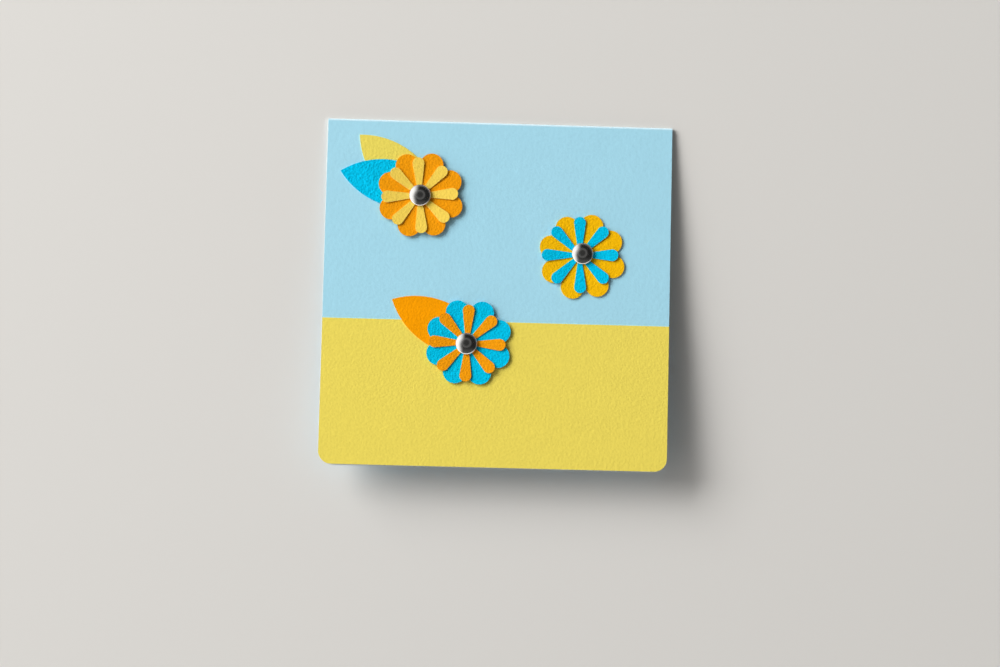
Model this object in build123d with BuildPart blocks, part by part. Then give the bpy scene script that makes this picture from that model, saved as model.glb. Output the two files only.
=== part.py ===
from build123d import *
from math import acos, cos, degrees, dist, hypot, radians, sin, tan
import os

# A square greeting card, folded along its top edge, lying closed on its back. It carries a yellow
# panel, three paper leaves and three paper flowers, each flower held by a domed split pin.
# Millimetres, X across the card, +Y towards the fold, +Z up, origin under the middle of the card.

# Folded card
card_width = 135.0
card_height = 135.0
card_stock = 0.35
fold_inner_radius = 0.3
gape = 4.0
corner_radius = 5.0

# Yellow panel on the lower part of the front
panel_height = 56.6
panel_stock = 0.25

# Paper leaf: a pointed tip, two even side curves and a rounded heel under the flower
leaf_tip_to_widest = 22.0
leaf_half_width = 9.1
leaf_heel_radius = 6.0
leaf_stock = 0.25

# A leaf that climbs on to another sheet does so over this length, and stops short of its edge
step_run = 7.0
step_gap = 0.2

# Flower layers, each bent up round a flat middle
flower_stock = 0.3
layer_bend_radius = 20.0

# Scalloped base of a flower
lobe_count = 8
lobe_radius = 4.55
lobe_reach = 17.1
valley_radius = 12.8
lobe_bend = 1.5

# Narrow petals on top of it
petal_count = 8
petal_reach = 14.95
petal_tip_radius = 2.3
petal_root_radius = 0.85
petal_root_place = 2.6
petal_hub_radius = 3.0
petal_bend = 3.0

# Split pin: a domed cap with a sloping shoulder and a low rim, and two flat legs
head_radius = 4.2
head_height = 2.2
shoulder_width = 0.45
shoulder_height = 0.75
head_rim_height = 0.35
leg_width = 2.0
leg_stock = 0.3
leg_length = 9.0
leg_bend_radius = 0.2
leg_tip_radius = 0.8

# Clearances: round a pin's legs in their slits, and between where the petals and base start to rise
slit_clearance = 0.3
rise_clearance = 0.3

# Places of the pins and of the leaves' tips on the front, from the edges that they are set out by
upper_pin_from_left = 36.6
upper_pin_from_top = 29.6
right_pin_from_right = 34.4
right_pin_above_panel = 27.7
lower_pin_from_left = 56.15
lower_pin_below_panel = 8.8
yellow_tip_from_left = 12.4
yellow_tip_from_top = 6.2
blue_tip_from_left = 5.3
blue_tip_from_top = 20.6
orange_tip_from_left = 26.8
orange_tip_above_panel = 7.85

# The angles at which the leaves point back to their flowers
yellow_leaf_angle = -42.0
blue_leaf_angle = -12.2
orange_leaf_angle = -26.7

# Where the blue leaf climbs the yellow one: the point of that leaf's side, as an angle round the
# side's curve from the leaf's widest place towards its tip
yellow_side_angle = 11.0

# Each flower: its pin's place from the front's middle, how far its two layers were pinned off
# centre, and how each layer and the pin's legs are turned, in degrees
card_left = -card_width / 2
card_right = card_width / 2
card_top = card_height / 2
panel_top = panel_height - card_height / 2
flowers = {
    "upper": {
        "pin": (card_left + upper_pin_from_left, card_top - upper_pin_from_top), "under": "leaf on leaf",
        "base_shift": (0.2, 0.2), "base_angle": 3.4,
        "petal_shift": (-0.1, 0.0), "petal_angle": 4.0, "leg_angle": 68.0,
    },
    "right": {
        "pin": (card_right - right_pin_from_right, panel_top + right_pin_above_panel), "under": "card",
        "base_shift": (-0.15, -1.2), "base_angle": 6.2,
        "petal_shift": (-1.0, -0.6), "petal_angle": 1.3, "leg_angle": 97.0,
    },
    "lower": {
        "pin": (card_left + lower_pin_from_left, panel_top - lower_pin_below_panel), "under": "leaf on panel",
        "base_shift": (0.8, 0.5), "base_angle": -1.4,
        "petal_shift": (0.25, 0.2), "petal_angle": -1.6, "leg_angle": 81.0,
    },
}

yellow_leaf_tip = (card_left + yellow_tip_from_left, card_top - yellow_tip_from_top)
blue_leaf_tip = (card_left + blue_tip_from_left, card_top - blue_tip_from_top)
orange_leaf_tip = (card_left + orange_tip_from_left, panel_top + orange_tip_above_panel)

os.makedirs("parts", exist_ok=True)


# The front's outer face: X across, Y up the card, Z out of it
fold_outer_radius = fold_inner_radius + card_stock
fold_centre = Vector(0, card_height / 2 - fold_outer_radius, fold_outer_radius)
front_normal = Vector(0, sin(radians(gape)), cos(radians(gape)))
front_down = Vector(0, -cos(radians(gape)), sin(radians(gape)))
half_front = card_height / 2 - fold_outer_radius
front_face = Plane(
    origin=fold_centre + front_normal * fold_outer_radius + front_down * half_front,
    x_dir=(1, 0, 0),
    z_dir=front_normal,
)


def on_front(x, y, height=0.0, turn=0.0):
    """A plane parallel to the front's outer face, at a place on it and turned about its normal."""
    return Plane(front_face.location * Location((x, y, height), (0, 0, turn)))


def upright(plane):
    """The plane that stands on the given one along its X, for a section seen from the side."""
    return Plane(origin=plane.origin, x_dir=plane.x_dir, z_dir=-plane.y_dir)


# Sizes that follow from the ones above: the petals are flat as far as the cap reaches, wherever
# they were pinned, and the base is flat as far as the petals are
slit_width = 2 * (leg_stock + slit_clearance)
slit_length = leg_width + 2 * slit_clearance
largest_petal_shift = max(hypot(*flower["petal_shift"]) for flower in flowers.values())
largest_slip = max(dist(flower["base_shift"], flower["petal_shift"]) for flower in flowers.values())
petal_flat_radius = head_radius + largest_petal_shift
base_flat_radius = petal_flat_radius + largest_slip + rise_clearance
seat_heights = {"card": 0.0, "leaf on leaf": 2 * leaf_stock, "leaf on panel": panel_stock + leaf_stock}

# The folded card: one sheet bent round the fold, its two free ends rounded at the corners
with BuildPart() as folded_card:
    with BuildSketch(Plane.YZ):
        with BuildLine():
            back = Line((-card_height / 2, 0), (card_height / 2 - fold_outer_radius, 0))
            fold = JernArc(back @ 1, back % 1, fold_outer_radius, 180 - gape)
            front = Line(fold @ 1, fold @ 1 + (fold % 1) * back.length)
            offset(amount=card_stock, side=Side.LEFT)
        make_face()
    extrude(amount=card_width / 2, both=True)
    fillet(folded_card.edges().filter_by(Axis.Z), radius=corner_radius)
    fillet(folded_card.edges().filter_by(Axis(front_face.origin, front_normal)), radius=corner_radius)
    for flower in flowers.values():
        with BuildSketch(on_front(*flower["pin"], turn=flower["leg_angle"])):
            Rectangle(slit_width, slit_length)
        extrude(amount=-(card_stock + fold_inner_radius), mode=Mode.SUBTRACT)

folded_card.part.label = "folded_card"
export_step(folded_card.part, "parts/folded_card.step")

# The yellow panel, glued flush with the card's lower edge and slit for the lower flower's pin
with BuildPart() as lower_panel:
    with BuildSketch(on_front(0, -card_height / 2)) as panel_outline:
        Rectangle(card_width, panel_height, align=(Align.CENTER, Align.MIN))
        fillet(panel_outline.vertices().group_by(Axis.Y)[0], radius=corner_radius)
    extrude(amount=panel_stock)
    with BuildSketch(on_front(*flowers["lower"]["pin"], turn=flowers["lower"]["leg_angle"])):
        Rectangle(slit_width, slit_length)
    extrude(amount=panel_stock, mode=Mode.SUBTRACT)

lower_panel.part.label = "lower_panel"
export_step(lower_panel.part, "parts/lower_panel.step")

# The leaf's outline, its tip at the origin and its length along X
leaf_side_radius = (leaf_tip_to_widest**2 + leaf_half_width**2) / (2 * leaf_half_width)
with BuildSketch() as leaf_outline:
    with BuildLine():
        leaf_end = (2 * leaf_tip_to_widest, 0)
        ThreePointArc((0, 0), (leaf_tip_to_widest, leaf_half_width), leaf_end)
        ThreePointArc((0, 0), (leaf_tip_to_widest, -leaf_half_width), leaf_end)
    make_face()
    fillet(leaf_outline.vertices().sort_by(Axis.X)[-1], radius=leaf_heel_radius)


def step_section(rise):
    """Section of a leaf that climbs by rise: X towards the higher side, zero where the climb ends."""
    bend_radius = (step_run**2 + rise**2) / (4 * rise)
    bend_angle = degrees(acos(1 - rise / (2 * bend_radius)))
    with BuildSketch() as section:
        with BuildLine():
            low = Line((-leaf_side_radius, 0), (-step_run, 0))
            bend_up = JernArc(low @ 1, low % 1, bend_radius, bend_angle)
            bend_back = JernArc(bend_up @ 1, bend_up % 1, bend_radius, -bend_angle)
            Line(bend_back @ 1, bend_back @ 1 + Vector(2 * leaf_side_radius, 0))
            offset(amount=leaf_stock, side=Side.LEFT)
        make_face()
    return section.sketch


yellow_leaf_seat = on_front(*yellow_leaf_tip, turn=yellow_leaf_angle)
blue_leaf_seat = on_front(*blue_leaf_tip, turn=blue_leaf_angle)
orange_leaf_seat = on_front(*orange_leaf_tip, turn=orange_leaf_angle)

# The yellow leaf lies flat on the card
with BuildPart() as upper_yellow_leaf:
    with BuildSketch(yellow_leaf_seat):
        add(leaf_outline.sketch)
    extrude(amount=leaf_stock)
    with BuildSketch(on_front(*flowers["upper"]["pin"], turn=flowers["upper"]["leg_angle"])):
        Rectangle(slit_width, slit_length)
    extrude(amount=leaf_stock, mode=Mode.SUBTRACT)

upper_yellow_leaf.part.label = "upper_yellow_leaf"
export_step(upper_yellow_leaf.part, "parts/upper_yellow_leaf.step")

# The blue leaf starts on the card and climbs on to the yellow one, square to that leaf's side
side_reach = leaf_side_radius + step_gap
blue_step_place = Location(
    (
        leaf_tip_to_widest - side_reach * sin(radians(yellow_side_angle)),
        leaf_side_radius - leaf_half_width - side_reach * cos(radians(yellow_side_angle)),
        0,
    ),
    (0, 0, 90 - yellow_side_angle),
)
blue_step = Plane(yellow_leaf_seat.location * blue_step_place)
orange_step = on_front(flowers["lower"]["pin"][0], panel_top + step_gap, turn=-90)
climbing_leaves = {
    "upper_blue_leaf": (blue_leaf_seat, blue_step, step_section(leaf_stock), flowers["upper"]),
    "lower_orange_leaf": (orange_leaf_seat, orange_step, step_section(panel_stock), flowers["lower"]),
}
leaf_trim_depth = 2 * (leaf_stock + panel_stock)
for name, (seat, step, section, flower) in climbing_leaves.items():
    with BuildPart() as climbing_leaf:
        with BuildSketch(upright(step)):
            add(section)
        extrude(amount=2 * leaf_side_radius, both=True)
        with BuildSketch(seat):
            add(leaf_outline.sketch)
        extrude(amount=leaf_trim_depth, mode=Mode.INTERSECT)
        with BuildSketch(on_front(*flower["pin"], turn=flower["leg_angle"])):
            Rectangle(slit_width, slit_length)
        extrude(amount=leaf_trim_depth, mode=Mode.SUBTRACT)

    climbing_leaf.part.label = name
    export_step(climbing_leaf.part, f"parts/{name}.step")


def bent_strip(flat_length, bend, width):
    """A strip of flower stock along X: flat from the middle out, then bent up, then straight."""
    with BuildPart() as strip:
        with BuildSketch(Plane.XZ):
            with BuildLine():
                flat = Line((0, 0), (flat_length, 0))
                bend_up = JernArc(flat @ 1, flat % 1, layer_bend_radius, bend)
                Line(bend_up @ 1, bend_up @ 1 + (bend_up % 1) * lobe_reach)
                offset(amount=flower_stock, side=Side.LEFT)
            make_face()
        extrude(amount=width / 2, both=True)
    return strip.part


# One lobe of the scalloped base with its share of the middle: a wedge as wide as the lobe's pitch
lobe_half_pitch = 180 / lobe_count
wedge_half_width = lobe_reach * tan(radians(lobe_half_pitch))
layer_depth = flower_stock + lobe_reach * tan(radians(max(lobe_bend, petal_bend)))
with BuildPart() as base_lobe:
    add(bent_strip(base_flat_radius, lobe_bend, 2 * wedge_half_width))
    with BuildSketch():
        Circle(valley_radius)
        with Locations((lobe_reach - lobe_radius, 0)):
            Circle(lobe_radius)
        with BuildLine():
            Polyline((0, 0), (lobe_reach, wedge_half_width), (lobe_reach, -wedge_half_width), (0, 0))
        make_face(mode=Mode.INTERSECT)
    extrude(amount=layer_depth, mode=Mode.INTERSECT)

with BuildPart() as base_layer:
    with PolarLocations(0, lobe_count, start_angle=lobe_half_pitch):
        add(base_lobe.part)

# One petal: a round root near the middle and a rounder tip, joined by straight sides
with BuildPart() as petal:
    add(bent_strip(petal_flat_radius, petal_bend, 4 * petal_tip_radius))
    with BuildSketch():
        with Locations((petal_root_place, 0)):
            Circle(petal_root_radius)
        with Locations((petal_reach - petal_tip_radius, 0)):
            Circle(petal_tip_radius)
        make_hull()
    extrude(amount=layer_depth, mode=Mode.INTERSECT)

with BuildPart() as petal_layer:
    with BuildSketch():
        Circle(petal_hub_radius)
    extrude(amount=flower_stock)
    with PolarLocations(0, petal_count):
        add(petal.part)

for name, flower in flowers.items():
    pin_x, pin_y = flower["pin"]
    base_x, base_y = flower["base_shift"]
    petal_x, petal_y = flower["petal_shift"]
    base_height = seat_heights[flower["under"]]
    petal_height = base_height + flower_stock
    head_height_on_front = petal_height + flower_stock
    base_seat = on_front(pin_x + base_x, pin_y + base_y, base_height, flower["base_angle"])
    petal_seat = on_front(pin_x + petal_x, pin_y + petal_y, petal_height, flower["petal_angle"])
    head_seat = on_front(pin_x, pin_y, head_height_on_front, flower["leg_angle"])

    # Scalloped base, slit where it was pinned
    with BuildPart(base_seat) as flower_base:
        add(base_layer.part)
        with BuildSketch(on_front(pin_x, pin_y, base_height, flower["leg_angle"])):
            Rectangle(slit_width, slit_length)
        extrude(amount=flower_stock, mode=Mode.SUBTRACT)

    flower_base.part.label = f"{name}_flower_base"
    export_step(flower_base.part, f"parts/{name}_flower_base.step")

    # Narrow petals on the base, slit where they were pinned
    with BuildPart(petal_seat) as flower_petals:
        add(petal_layer.part)
        with BuildSketch(on_front(pin_x, pin_y, petal_height, flower["leg_angle"])):
            Rectangle(slit_width, slit_length)
        extrude(amount=flower_stock, mode=Mode.SUBTRACT)

    flower_petals.part.label = f"{name}_flower_petals"
    export_step(flower_petals.part, f"parts/{name}_flower_petals.step")

    # Split pin: the cap, and two legs that pass the layers and lie flat inside the card
    leg_drop = head_height_on_front + card_stock + leg_stock
    with BuildPart() as split_pin:
        with BuildSketch(upright(head_seat)):
            with BuildLine():
                FilletPolyline(
                    (0, head_rim_height),
                    (0, -leg_drop),
                    (leg_length, -leg_drop),
                    radius=leg_bend_radius + leg_stock,
                )
                offset(amount=leg_stock, side=Side.LEFT)
            make_face()
        extrude(amount=leg_width / 2, both=True)
        leg_ends = split_pin.edges().filter_by(Axis(head_seat.origin, head_seat.z_dir))
        fillet(leg_ends.group_by(Axis(head_seat.origin, head_seat.x_dir))[-1], radius=leg_tip_radius)
        mirror(about=Plane(origin=head_seat.origin, x_dir=head_seat.y_dir, z_dir=head_seat.x_dir))
        with BuildSketch(upright(head_seat)):
            with BuildLine():
                dome_edge = head_radius - shoulder_width
                dome_rise = head_height - shoulder_height - head_rim_height
                dome_radius = (dome_edge**2 + dome_rise**2) / (2 * dome_rise)
                dome = RadiusArc((0, head_height), (dome_edge, head_height - dome_rise), dome_radius)
                Polyline(dome @ 1, (head_radius, head_rim_height), (head_radius, 0), (0, 0), dome @ 0)
            make_face()
        revolve(axis=Axis(head_seat.origin, head_seat.z_dir))

    split_pin.part.label = f"{name}_split_pin"
    export_step(split_pin.part, f"parts/{name}_split_pin.step")
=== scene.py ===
# %% [markdown]
# # A greeting card with three pinned paper flowers
#
# The card is a folded sheet of light-blue card that lies on its back. A yellow panel, three leaves and
# three flowers are fixed on its front, and a domed metal split pin holds each flower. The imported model
# has every piece at its real size, so this lesson gives the pieces their paper and metal, spins finer
# pins, and sets up a camera and soft light.

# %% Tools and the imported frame
import math

import bmesh
import bpy
from mathutils import Matrix, Vector


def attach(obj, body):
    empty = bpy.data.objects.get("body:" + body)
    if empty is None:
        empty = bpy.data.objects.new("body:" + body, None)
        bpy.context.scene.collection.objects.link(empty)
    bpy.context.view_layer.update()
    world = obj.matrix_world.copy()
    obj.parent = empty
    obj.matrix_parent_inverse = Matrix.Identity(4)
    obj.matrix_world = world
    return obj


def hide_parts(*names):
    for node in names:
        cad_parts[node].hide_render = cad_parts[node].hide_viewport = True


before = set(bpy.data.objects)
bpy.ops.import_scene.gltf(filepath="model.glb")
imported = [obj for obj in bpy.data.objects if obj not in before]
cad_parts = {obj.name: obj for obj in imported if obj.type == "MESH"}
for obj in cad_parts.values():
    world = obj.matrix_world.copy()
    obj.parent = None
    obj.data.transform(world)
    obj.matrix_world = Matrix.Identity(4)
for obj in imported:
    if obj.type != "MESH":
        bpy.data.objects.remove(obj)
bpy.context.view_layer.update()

mm = 0.001
print("CAD nodes:", len(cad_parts))

# %% [markdown]
# ## Camera
#
# A camera could be placed by eye, but the card's four corners in the picture fix it: its place, the
# point that it looks at, its roll and its lens. It looks almost straight down on the card's front.

# %% Camera
camera_place = Vector((-0.02406, -0.03524, 0.86189))
camera_aim = Vector((0.00164, -0.01507, 0.00703))
camera_roll = 1.498

camera_back = (camera_place - camera_aim).normalized()
camera_right = Vector((0, 1, 0)).cross(camera_back).normalized()
camera_up = camera_back.cross(camera_right)
camera_turn = Matrix((camera_right, camera_up, camera_back)).transposed()
camera_turn = camera_turn @ Matrix.Rotation(math.radians(camera_roll), 3, "Z")

camera = bpy.data.objects.new("camera", bpy.data.cameras.new("camera"))
camera.data.sensor_width = 36.0
camera.data.lens = 79.2
camera.data.clip_start = 0.01
camera.matrix_world = Matrix.Translation(camera_place) @ camera_turn.to_4x4()
bpy.context.scene.collection.objects.link(camera)
bpy.context.scene.camera = camera
print("camera to card:", round((camera_place - camera_aim).length, 3), "m")

# %% [markdown]
# ## Colours and nodes
#
# Colours are picked from a screen, so they are written as sRGB hex values. Blender mixes light in
# linear values, and one function turns the first into the second. Another adds a node to a material,
# with its settings and links, so that each material below reads as a short recipe.

# %% Helpers for colours and nodes
def linear(hex_colour):
    channels = [int(hex_colour[i:i + 2], 16) / 255 for i in (0, 2, 4)]
    return [c / 12.92 if c <= 0.04045 else ((c + 0.055) / 1.055) ** 2.4 for c in channels] + [1.0]


def add_node(tree, kind, settings=None, links=None):
    node = tree.nodes.new(kind)
    for key, value in (settings or {}).items():
        if isinstance(key, str) and hasattr(node, key):
            setattr(node, key, value)
        else:
            node.inputs[key].default_value = value
    for key, (source, output) in (links or {}).items():
        tree.links.new(source.outputs[output], node.inputs[key])
    return node


def new_material(name):
    material = bpy.data.materials.new(name)
    material.use_nodes = True
    material.node_tree.nodes.clear()
    return material, material.node_tree


print("middle grey in linear light:", round(linear("808080")[0], 3))

# %% [markdown]
# ## Grain of craft paper
#
# The coloured sheets are uncoated craft paper, and the felt of the paper machine leaves a soft pebble
# grain about a millimetre across. A picture of paper could be laid on, but a grain made of noise keeps
# its size on every piece. Rounded cells give the pebbles, and a noise about half as wide the fibres.

# %% Paper grain
fibre_share = 0.45


def paper_grain(tree, place, grain_mm):
    pebbles = add_node(
        tree, "ShaderNodeTexVoronoi",
        {"feature": "SMOOTH_F1", "Scale": 1 / (grain_mm * mm), "Smoothness": 0.7},
        {"Vector": (place, "Object")},
    )
    fibres = add_node(
        tree, "ShaderNodeTexNoise", {"Scale": 1 / (fibre_share * grain_mm * mm), "Detail": 3.0},
        {"Vector": (place, "Object")},
    )
    grain = add_node(
        tree, "ShaderNodeMath", {"operation": "ADD"}, {0: (pebbles, "Distance"), 1: (fibres, "Fac")}
    )
    return grain, fibres


print("width of a fibre against a pebble:", fibre_share)

# %% [markdown]
# ## Dye in the pulp, and painted shade in the pits
#
# A sheet with dye in its pulp is never quite even. A wide noise changes its level by one part in a
# hundred, and a noise drawn out along the card gives the faint streaks of its making. The pits of the
# grain are painted a little darker than its tops: painted shade, for the shadow that falls in them.
# Colours could be mixed for each of these, but that shifts the hue. Here the three levels are
# multiplied, and only say how light the one colour is.

# %% Levels of the dye and of the painted shade in the pits
dye_patch = 9 * mm
dye_change = 0.01
streak_width = 0.7 * mm
noise_range = (0.3, 0.7)
grain_range = (0.6, 1.3)


def level_around_one(tree, source, source_range, change):
    return add_node(
        tree, "ShaderNodeMapRange",
        {"From Min": source_range[0], "From Max": source_range[1],
         "To Min": 1 - change, "To Max": 1 + change},
        {"Value": source},
    )


def dye_and_pit_shade(tree, place, grain, pit_shade, streak):
    dye = add_node(
        tree, "ShaderNodeTexNoise", {"Scale": 1 / dye_patch, "Detail": 4.0}, {"Vector": (place, "Object")}
    )
    drawn = add_node(
        tree, "ShaderNodeMapping", {"Scale": (1 / streak_width, 1 / dye_patch, 1.0)},
        {"Vector": (place, "Object")},
    )
    streaks = add_node(tree, "ShaderNodeTexNoise", {"Scale": 1.0, "Detail": 2.0}, {"Vector": (drawn, 0)})
    patches = level_around_one(tree, (dye, "Fac"), noise_range, dye_change)
    drawn_level = level_around_one(tree, (streaks, "Fac"), noise_range, streak)
    # Painted shade: the pits of the grain are darkened, for the shadow that falls in them.
    pit_painted_shade = level_around_one(tree, (grain, 0), grain_range, pit_shade)
    even = add_node(tree, "ShaderNodeMath", {"operation": "MULTIPLY"}, {0: (patches, 0), 1: (drawn_level, 0)})
    return add_node(tree, "ShaderNodeMath", {"operation": "MULTIPLY"}, {0: (even, 0), 1: (pit_painted_shade, 0)})


print("dye patches:", round(dye_patch / mm, 1), "mm; streaks:", round(streak_width / mm, 1), "mm")

# %% [markdown]
# ## Cut edges and the fold's painted highlight
#
# A blade tears the fibres of an edge, and they look paler than the face. Edges could be given a
# material of their own, but every sheet lies nearly flat on the card's front, so a face that stands
# steeply to the front is a cut edge. Along the fold the colour is painted paler in spots, on the raised
# fibres first: partly painted highlight, for the light that the fold's rounded top catches, and partly
# dye rubbed off the fold.

# %% Edge and the fold's painted highlight
front_tilt = math.radians(4.0)
front_normal = (0.0, math.sin(front_tilt), math.cos(front_tilt))
steep = 0.5
fold_highlight_width = 0.7 * mm
fold_highlight_strength = 1.4


def face_and_edge(tree, place, face, edge):
    lean = add_node(
        tree, "ShaderNodeVectorMath", {"operation": "DOT_PRODUCT", 1: front_normal}, {0: (place, "Normal")}
    )
    upright = add_node(tree, "ShaderNodeMath", {"operation": "ABSOLUTE"}, {0: (lean, "Value")})
    cut = add_node(tree, "ShaderNodeMath", {"operation": "LESS_THAN", 1: steep}, {0: (upright, 0)})
    return add_node(
        tree, "ShaderNodeMix", {"data_type": "RGBA", 6: linear(face), 7: linear(edge)}, {0: (cut, 0)}
    )


# Painted highlight, partly wear: a paler band along the fold, in spots on the raised fibres.
def fold_highlight_and_wear(tree, place, colour, edge, fibres, fold_line):
    where = add_node(tree, "ShaderNodeSeparateXYZ", {}, {0: (place, "Object")})
    near_fold = add_node(
        tree, "ShaderNodeMapRange",
        {"interpolation_type": "SMOOTHSTEP", "From Min": fold_line, "From Max": fold_line + fold_highlight_width,
         "To Max": fold_highlight_strength},
        {"Value": (where, "Y")},
    )
    fold_highlight_spots = add_node(
        tree, "ShaderNodeMath", {"operation": "MULTIPLY", "use_clamp": True},
        {0: (near_fold, 0), 1: (fibres, "Fac")},
    )
    return add_node(
        tree, "ShaderNodeMix", {"data_type": "RGBA", 7: linear(edge)}, {0: (fold_highlight_spots, 0), 6: (colour, 2)}
    )


print("the card's front leans by", round(math.degrees(front_tilt), 1), "degrees")

# %% [markdown]
# ## One paper
#
# Grain, dye, the painted shade in the pits and edge come together in one shader, and on the card the
# fold's painted highlight. Uncoated paper spreads light evenly and has hardly any gloss, so it is rough
# and reflects weakly. The grain also lifts the surface, by the depth in millimetres that each paper is
# given.

# %% Craft paper
paper_roughness = 0.88
paper_gloss = 0.12


def craft_paper(name, face, edge, grain_mm, depth_mm, pit_shade, streak=0.0, fold_line=None):
    material, tree = new_material(name)
    place = add_node(tree, "ShaderNodeTexCoord")
    grain, fibres = paper_grain(tree, place, grain_mm)
    colour = face_and_edge(tree, place, face, edge)
    if fold_line is not None:
        colour = fold_highlight_and_wear(tree, place, colour, edge, fibres, fold_line)
    # The level holds the dye and the painted shade in the pits.
    level = dye_and_pit_shade(tree, place, grain, pit_shade, streak)
    dyed_and_pit_shaded = add_node(tree, "ShaderNodeHueSaturation", {}, {"Color": (colour, 2), "Value": (level, 0)})
    relief = add_node(
        tree, "ShaderNodeBump", {"Strength": 1.0, "Distance": depth_mm * mm}, {"Height": (grain, 0)}
    )
    sheet = add_node(
        tree, "ShaderNodeBsdfPrincipled", {"Roughness": paper_roughness, "Specular IOR Level": paper_gloss},
        {"Base Color": (dyed_and_pit_shaded, 0), "Normal": (relief, 0)},
    )
    add_node(tree, "ShaderNodeOutputMaterial", {}, {"Surface": (sheet, 0)})
    return material


print("paper roughness:", paper_roughness)

# %% [markdown]
# ## The nine papers
#
# The card is smooth, the panel is felt-marked, and the leaves and flowers are cut from coarser paper.
# A sheet with deep dye shows its grain most. After its name, each paper has the colour of its face
# and of its cut edge, the width and depth of its grain in millimetres, and how dark the painted shade
# in its pits is.

# %% Papers
papers = {
    "card_blue": craft_paper(
        "light_blue_felt_card", "A3D5E6", "D2E7EF", 1.4, 0.037, 0.014, streak=0.008, fold_line=66.5 * mm
    ),
    "panel_yellow": craft_paper("yellow_felt_paper", "E8D45C", "EEE08C", 1.0, 0.059, 0.029),
    "leaf_yellow": craft_paper("leaf_yellow_paper", "E4D25C", "F0DC84", 0.9, 0.072, 0.033),
    "leaf_blue": craft_paper("leaf_blue_paper", "00BAE2", "5CCBE6", 0.9, 0.2, 0.12),
    "leaf_orange": craft_paper("leaf_orange_paper", "F49A00", "F8B458", 0.8, 0.082, 0.041),
    "flower_orange": craft_paper("flower_orange_paper", "EE980C", "F6B45A", 0.75, 0.123, 0.065),
    "flower_golden": craft_paper("flower_golden_paper", "F2B708", "F8CC60", 0.75, 0.121, 0.064),
    "flower_blue": craft_paper("flower_blue_paper", "00BCE2", "5CCBE6", 0.75, 0.15, 0.09),
    "flower_pale_yellow": craft_paper("flower_pale_yellow_paper", "F0CE56", "F4E096", 0.75, 0.097, 0.034),
}
print("papers:", len(papers))

# %% [markdown]
# ## Paper on the pieces
#
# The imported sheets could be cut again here, but their shapes are right, so they stay and only get
# their paper. Each flower has two layers in two colours. The lower flower repeats the orange of one
# of the others and the blue of the other.

# %% Paper on the nodes
piece_papers = {
    "folded_card": "card_blue",
    "lower_panel": "panel_yellow",
    "upper_yellow_leaf": "leaf_yellow",
    "upper_blue_leaf": "leaf_blue",
    "lower_orange_leaf": "leaf_orange",
    "upper_flower_base": "flower_orange",
    "upper_flower_petals": "flower_pale_yellow",
    "right_flower_base": "flower_golden",
    "right_flower_petals": "flower_blue",
    "lower_flower_base": "flower_blue",
    "lower_flower_petals": "flower_orange",
}
for node_name, paper_name in piece_papers.items():
    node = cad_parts[node_name]
    node.data.materials.clear()
    node.data.materials.append(papers[paper_name])
print("papered nodes:", len(piece_papers))

# %% [markdown]
# ## Nickel plate
#
# The pins are pressed from thin nickel-plated steel and tumbled until they shine. An even polish would
# look too new, so a soft noise dulls it a little here and there, as handling does. Most of what the
# eye sees in polished metal is its surroundings, so its own colour is only a warm pale grey.

# %% Polished plate
dull_patch = 1.5 * mm
least_rough, most_rough = 0.15, 0.21

metal, metal_tree = new_material("nickel_plated_steel")
metal_place = add_node(metal_tree, "ShaderNodeTexCoord")
handling = add_node(
    metal_tree, "ShaderNodeTexNoise", {"Scale": 1 / dull_patch, "Detail": 3.0},
    {"Vector": (metal_place, "Object")},
)
dullness = add_node(
    metal_tree, "ShaderNodeMapRange", {"To Min": least_rough, "To Max": most_rough},
    {"Value": (handling, "Fac")},
)
plate = add_node(
    metal_tree, "ShaderNodeBsdfPrincipled", {"Base Color": linear("D6D4D0"), "Metallic": 1.0},
    {"Roughness": (dullness, 0)},
)
add_node(metal_tree, "ShaderNodeOutputMaterial", {}, {"Surface": (plate, 0)})
print("metal roughness:", least_rough, "to", most_rough)

# %% [markdown]
# ## Head of a split pin
#
# A sphere cut in half would look like a bead, because a real cap is shallow. So one profile is spun
# round the pin: an arc for the dome, a narrow shoulder that mirrors its surroundings as a thin bright
# ring, a low rim, and a slightly hollow underside. Its corners are rounded before the spin, as
# pressing leaves them.

# %% Pin head
head_radius = 4.2 * mm
head_height = 2.2 * mm
shoulder_width = 0.31 * mm
shoulder_height = 0.28 * mm
shoulder_round = 0.1 * mm
rim_height = 0.7 * mm
rim_width = 0.5 * mm
foot_round = 0.06 * mm
hollow_height = 0.05 * mm
merge_distance = 0.001 * mm


def pin_head(mesh):
    dome_edge = head_radius - shoulder_width
    rise = head_height - shoulder_height - rim_height
    dome_radius = (dome_edge**2 + rise**2) / (2 * rise)
    crown = mesh.verts.new((0, 0, head_height))
    arc = bmesh.ops.spin(
        mesh, geom=[crown], cent=(0, 0, head_height - dome_radius), axis=(0, 1, 0),
        angle=math.asin(dome_edge / dome_radius), steps=16,
    )
    edge = [v for v in arc["geom_last"] if isinstance(v, bmesh.types.BMVert)][0]
    rim = mesh.verts.new((head_radius, 0, rim_height))
    foot = mesh.verts.new((head_radius, 0, 0))
    hollow = mesh.verts.new((head_radius - rim_width, 0, hollow_height))
    middle = mesh.verts.new((0, 0, hollow_height))
    for start, end in ((edge, rim), (rim, foot), (foot, hollow), (hollow, middle)):
        mesh.edges.new((start, end))
    for corners, offset, segments in (([edge, rim], shoulder_round, 4), ([foot], foot_round, 3)):
        bmesh.ops.bevel(
            mesh, geom=corners, affect="VERTICES", offset=offset, segments=segments, profile=0.5, material=-1
        )
    bmesh.ops.spin(
        mesh, geom=mesh.verts[:] + mesh.edges[:], cent=(0, 0, 0), axis=(0, 0, 1), angle=2 * math.pi,
        steps=96, use_merge=True,
    )
    bmesh.ops.remove_doubles(mesh, verts=mesh.verts, dist=merge_distance)


print("head:", round(2 * head_radius / mm, 1), "mm across,", round(head_height / mm, 1), "mm high")

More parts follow.
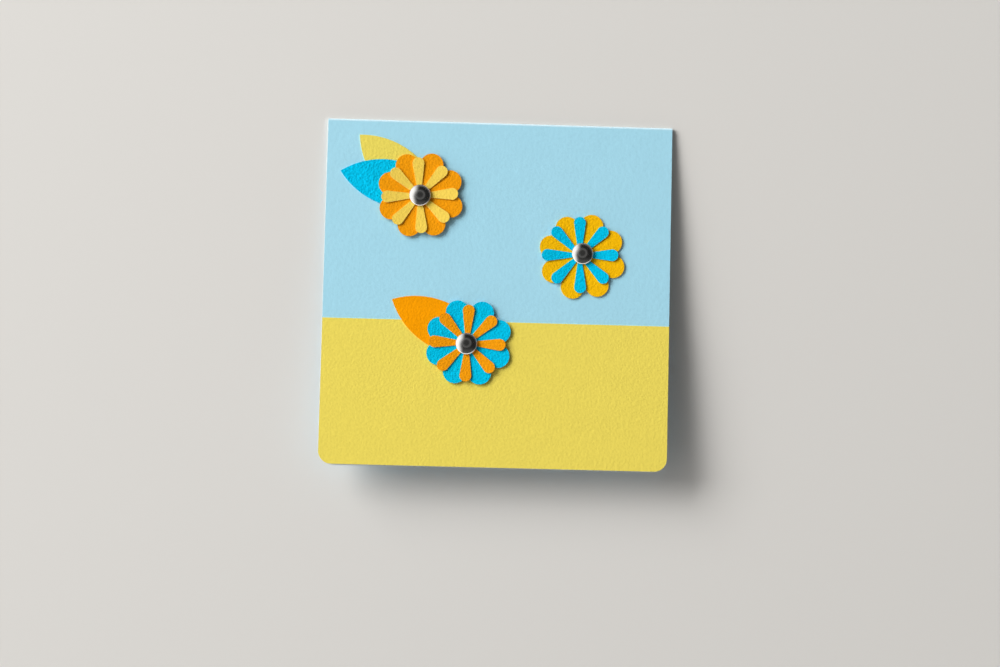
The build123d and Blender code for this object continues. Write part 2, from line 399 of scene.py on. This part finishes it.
# %% [markdown]
# ## Legs of a split pin
#
# Two flat legs pass through the papers and lie bent open inside the card. A leg could be a curve with
# a thickness, but a strip of metal keeps its section all the way. So the section is drawn once, pulled
# down through the papers, spun round the bend and pulled out along the card. Its tip has round corners.

# %% Pin legs
leg_width = 2.0 * mm
leg_stock = 0.3 * mm
leg_length = 9.0 * mm
leg_bend = 0.2 * mm
leg_tip = 0.8 * mm
leg_root = 0.3 * mm


def pin_leg(mesh, drop, way):
    section = bmesh.ops.create_grid(mesh, x_segments=1, y_segments=1, size=0.5)["verts"]
    bmesh.ops.scale(mesh, vec=(leg_stock, leg_width, 1), verts=section)
    bmesh.ops.translate(mesh, vec=(way * leg_stock / 2, 0, leg_root), verts=section)
    face = [f for f in mesh.faces if all(v in section for v in f.verts)][0]
    shaft = bmesh.ops.extrude_face_region(mesh, geom=[face])
    shaft_verts = [v for v in shaft["geom"] if isinstance(v, bmesh.types.BMVert)]
    bend_height = -drop + leg_bend + leg_stock
    bmesh.ops.translate(mesh, vec=(0, 0, bend_height - leg_root), verts=shaft_verts)
    end_face = [f for f in shaft["geom"] if isinstance(f, bmesh.types.BMFace)]
    turn = bmesh.ops.spin(
        mesh, geom=end_face, cent=(way * (leg_stock + leg_bend), 0, bend_height), axis=(0, 1, 0),
        angle=-way * math.pi / 2, steps=6,
    )
    out_face = [f for f in turn["geom_last"] if isinstance(f, bmesh.types.BMFace)]
    bmesh.ops.delete(mesh, geom=end_face, context="FACES_ONLY")
    reach = bmesh.ops.extrude_face_region(mesh, geom=out_face)
    bmesh.ops.delete(mesh, geom=out_face, context="FACES_ONLY")
    tip_verts = [v for v in reach["geom"] if isinstance(v, bmesh.types.BMVert)]
    bmesh.ops.translate(mesh, vec=(way * (leg_length - leg_stock - leg_bend), 0, 0), verts=tip_verts)
    tip_corners = [
        e for e in reach["geom"]
        if isinstance(e, bmesh.types.BMEdge) and abs(e.verts[0].co.y - e.verts[1].co.y) < merge_distance
    ]
    bmesh.ops.bevel(
        mesh, geom=tip_corners, affect="EDGES", offset=leg_tip, segments=6, profile=0.5, material=-1
    )


print("leg:", round(leg_length / mm, 1), "mm long,", round(leg_width / mm, 1), "mm wide")

# %% [markdown]
# ## Three pins in their flowers
#
# A pin could be made once and copied, but two of the flowers lie on more sheets than the third, so the
# legs reach further down. Each pin is made at the origin with its own legs, then turned as its slit is,
# seated on its petals and leaned with the card's front. It rides with the card and stands for the
# packed pin.

# %% Pins in place
card_stock = 0.35 * mm
front_centre = Vector((0, 0.208, 5.962)) * mm
sharp_angle = math.radians(40)
pin_places = {
    "upper_split_pin": ((-30.9, 37.9, 1.1), 68.0),
    "right_split_pin": ((33.1, 16.8, 0.6), 97.0),
    "lower_split_pin": ((-11.35, -19.7, 1.1), 81.0),
}
front_place = Matrix.Translation(front_centre) @ Matrix.Rotation(-front_tilt, 4, "X")
for node_name, (place, turn) in pin_places.items():
    pin_mesh = bmesh.new()
    leg_drop = place[2] * mm + card_stock + leg_stock
    pin_head(pin_mesh)
    pin_leg(pin_mesh, leg_drop, 1)
    pin_leg(pin_mesh, leg_drop, -1)
    bmesh.ops.recalc_face_normals(pin_mesh, faces=pin_mesh.faces)
    seat = front_place @ Matrix.Translation(Vector(place) * mm) @ Matrix.Rotation(math.radians(turn), 4, "Z")
    pin_mesh.transform(seat)
    for face in pin_mesh.faces:
        face.smooth = True
    pin_data = bpy.data.meshes.new(node_name + "_fine")
    pin_mesh.to_mesh(pin_data)
    pin_mesh.free()
    pin = bpy.data.objects.new(node_name + "_fine", pin_data)
    bpy.context.scene.collection.objects.link(pin)
    pin_data.set_sharp_from_angle(angle=sharp_angle)
    pin_data.materials.append(metal)
    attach(pin, "root")
    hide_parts(node_name)
    print(node_name, "faces:", len(pin_data.polygons))

# %% [markdown]
# ## Floor
#
# The card lies on a plain pale floor, large enough to fill every view. A glossy floor would mirror the
# card, so this one is matt and only takes its shadow.

# %% Floor
bpy.ops.mesh.primitive_plane_add(size=8)
floor = bpy.context.object
floor.name = "floor"
floor_material, floor_tree = new_material("pale_floor")
floor_coat = add_node(
    floor_tree, "ShaderNodeBsdfPrincipled", {"Base Color": linear("DAD7D2"), "Roughness": 0.9}
)
add_node(floor_tree, "ShaderNodeOutputMaterial", {}, {"Surface": (floor_coat, 0)})
floor.data.materials.append(floor_material)
print("floor:", round(floor.dimensions.x, 1), "m wide")

# %% [markdown]
# ## Lamps
#
# Light comes from a window at the upper left, low enough to draw the grain of the papers and the edges
# of the petals. A small lamp would throw hard shadows, so a wide one stands for the window, and a weak
# one overhead for the light that a ceiling sends back. A lamp would show as a hard white patch in
# the polished pins, so they don't mirror the lamps.

# %% Window and ceiling
def area_lamp(name, place, width, height, watts):
    lamp = bpy.data.objects.new(name, bpy.data.lights.new(name, "AREA"))
    lamp.data.shape = "RECTANGLE"
    lamp.data.size = width
    lamp.data.size_y = height
    lamp.data.energy = watts
    lamp.matrix_world = Matrix.Translation(place) @ place.to_track_quat("Z", "Y").to_matrix().to_4x4()
    lamp.visible_camera = False
    lamp.visible_glossy = False
    bpy.context.scene.collection.objects.link(lamp)
    print(name, "to card:", round(place.length, 2), "m")


area_lamp("window", Vector((-2.55, 1.47, 1.31)), 2.6, 1.2, 162.0)
area_lamp("ceiling_bounce", Vector((0.6, -0.3, 1.8)), 1.6, 1.6, 2.5)

# %% [markdown]
# ## Parts of a room
#
# Polished metal only shows what is round it, so it needs a room. A picture of one could be used, but a
# few soft shapes made from the direction alone do as well. Each part fades in towards one side, from
# a least level that it has all round, and fades out with height.

# %% One part of the room
room = bpy.data.worlds.new("room")
room.use_nodes = True
room_tree = room.node_tree
room_tree.nodes.clear()
room_way = add_node(room_tree, "ShaderNodeTexCoord")
room_height = add_node(room_tree, "ShaderNodeSeparateXYZ", {}, {0: (room_way, "Generated")})


def room_part(towards, side_range, height_range, least):
    side = add_node(
        room_tree, "ShaderNodeVectorMath", {"operation": "DOT_PRODUCT", 1: towards},
        {0: (room_way, "Generated")},
    )
    side_level = add_node(
        room_tree, "ShaderNodeMapRange",
        {"interpolation_type": "SMOOTHSTEP", "From Min": side_range[0], "From Max": side_range[1],
         "To Min": least},
        {"Value": (side, "Value")},
    )
    height_level = add_node(
        room_tree, "ShaderNodeMapRange",
        {"interpolation_type": "SMOOTHSTEP", "From Min": height_range[0], "From Max": height_range[1],
         "To Min": 1.0, "To Max": 0.0},
        {"Value": (room_height, "Z")},
    )
    return add_node(
        room_tree, "ShaderNodeMath", {"operation": "MULTIPLY"}, {0: (side_level, 0), 1: (height_level, 0)}
    )


print("room nodes so far:", len(room_tree.nodes))

# %% [markdown]
# ## The whole room
#
# A soft window lights one side, a bright band runs near the floor with a faint glow above it, and the
# ceiling is dim with a darker middle. One even grey would make the metal look like plastic. The parts
# add up on a dim base to the strength of a white background. Each has the way it lies, where it fades
# in and out, its least level and its strength. The standard view shows a colour as it is written.

# %% Room
every_height = (2.0, 3.0)
room_parts = {
    "soft window": ((-0.99, 0.13, 0.0), (0.2, 0.78), (0.55, 0.93), 0.0, 1.5),
    "low band": ((0.0, -1.0, 0.0), (0.35, 1.05), (0.25, 0.4), 0.1, 1.6),
    "far glow": ((0.0, -1.0, 0.0), (0.2, 0.9), (0.8, 0.95), 0.0, 0.085),
    "ceiling ring": ((0.0, 0.2, 0.98), (0.8, 0.88), every_height, 0.0, 0.13),
    "ceiling middle": ((0.0, 0.2, 0.98), (0.88, 0.97), every_height, 0.0, -0.11),
}
room_level = add_node(room_tree, "ShaderNodeValue")
room_level.outputs[0].default_value = 0.02
for towards, side_range, height_range, least, strength in room_parts.values():
    part = room_part(towards, side_range, height_range, least)
    room_level = add_node(
        room_tree, "ShaderNodeMath", {"operation": "MULTIPLY_ADD", 1: strength},
        {0: (part, 0), 2: (room_level, 0)},
    )
room_light = add_node(
    room_tree, "ShaderNodeBackground", {"Color": linear("FFFFFF")}, {"Strength": (room_level, 0)}
)
add_node(room_tree, "ShaderNodeOutputWorld", {}, {"Surface": (room_light, 0)})
bpy.context.scene.world = room
bpy.context.scene.view_settings.view_transform = "Standard"
print("room parts:", ", ".join(room_parts))
